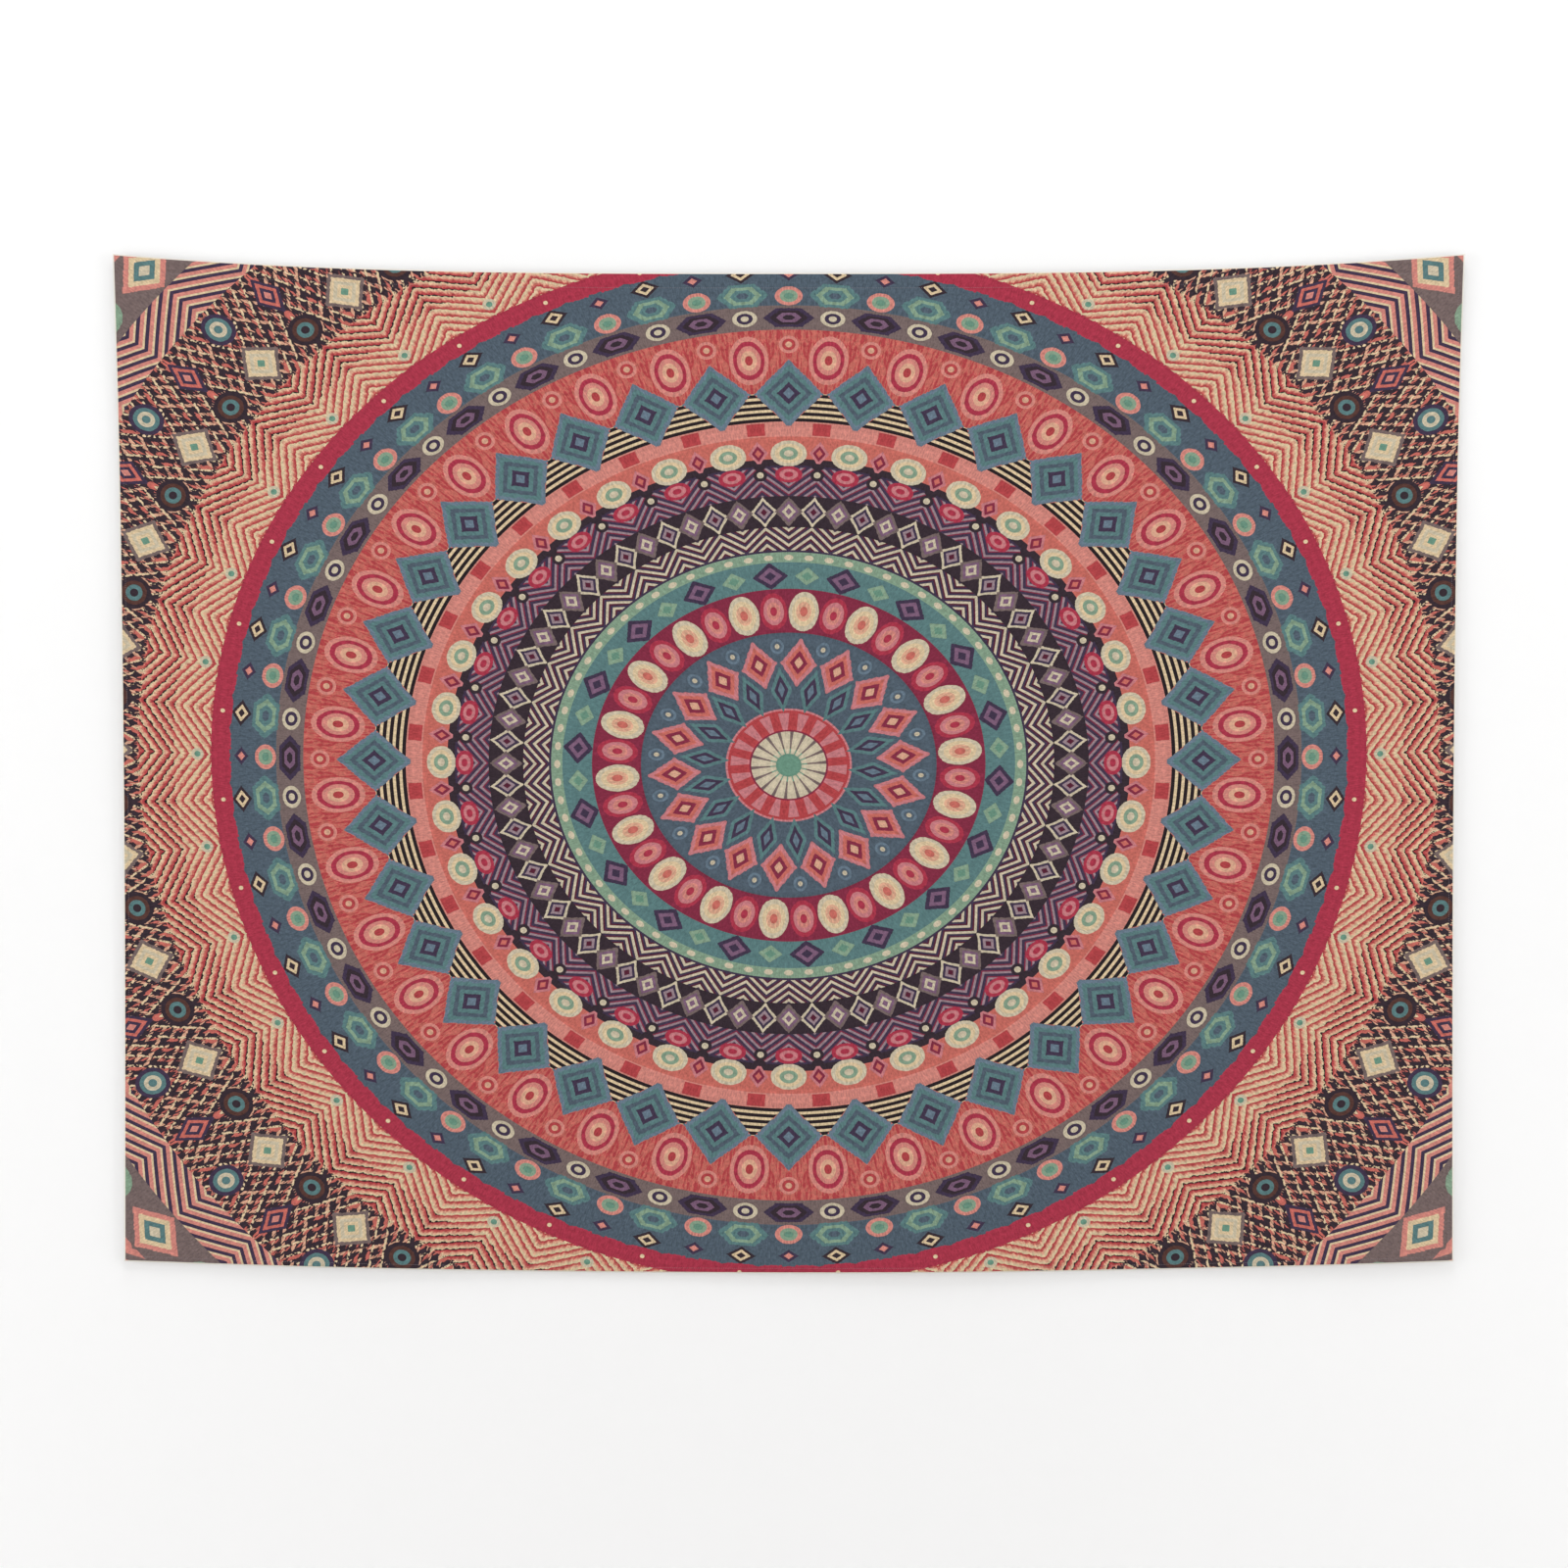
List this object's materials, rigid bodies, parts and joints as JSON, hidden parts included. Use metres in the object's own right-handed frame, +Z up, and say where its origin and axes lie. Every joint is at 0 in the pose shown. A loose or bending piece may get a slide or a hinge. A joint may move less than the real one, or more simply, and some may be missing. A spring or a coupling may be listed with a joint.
{
  "type": "tapestry wall hanging",
  "caption": "Wide printed cloth wall hanging with sewn hems, hung at its upper corners by cord loops on wall nails; it swings out from the wall and its lower half folds up.",
  "frame": {"origin": "on the wall plane, midway between the axes of the two nails", "axes": "+X to the right along the top edge, as seen from the room; +Y into the wall, along the nails; +Z up"},
  "size_m": [2, 0.0307, 1.508],
  "materials": {
    "printed_cloth": "matte",
    "hem_cloth": "matte",
    "hem_thread": "satin",
    "loop_cord": "matte",
    "tack_thread": "satin",
    "nail_steel": "satin",
    "label_ribbon": "satin"
  },
  "bodies": {
    "wall_nails": {"left_nail": "nail_steel", "right_nail": "nail_steel"},
    "upper_cloth": {"printed_cloth_upper": "printed_cloth", "top_hem": "hem_cloth", "left_hem_upper": "hem_cloth", "right_hem_upper": "hem_cloth", "top_hem_stitching": "hem_thread", "left_hem_stitching_upper": "hem_thread", "right_hem_stitching_upper": "hem_thread", "left_hanging_loop": "loop_cord", "right_hanging_loop": "loop_cord", "left_loop_tacks": "tack_thread", "right_loop_tacks": "tack_thread"},
    "lower_cloth": {"printed_cloth_lower": "printed_cloth", "bottom_hem": "hem_cloth", "left_hem_lower": "hem_cloth", "right_hem_lower": "hem_cloth", "bottom_hem_stitching": "hem_thread", "left_hem_stitching_lower": "hem_thread", "right_hem_stitching_lower": "hem_thread", "care_label": "label_ribbon"}
  },
  "joints": [
    {"name": "swing_from_wall", "type": "hinge", "parent": "wall_nails", "child": "upper_cloth", "pos_m": [0, -0.0054, 0.0022], "axis": [-1, 0, 0], "range_deg": [0, 90]},
    {"name": "cloth_fold", "type": "hinge", "parent": "upper_cloth", "child": "lower_cloth", "pos_m": [0, -0.0098, -0.745], "axis": [-1, 0, 0], "range_deg": [0, 150]}
  ]
}
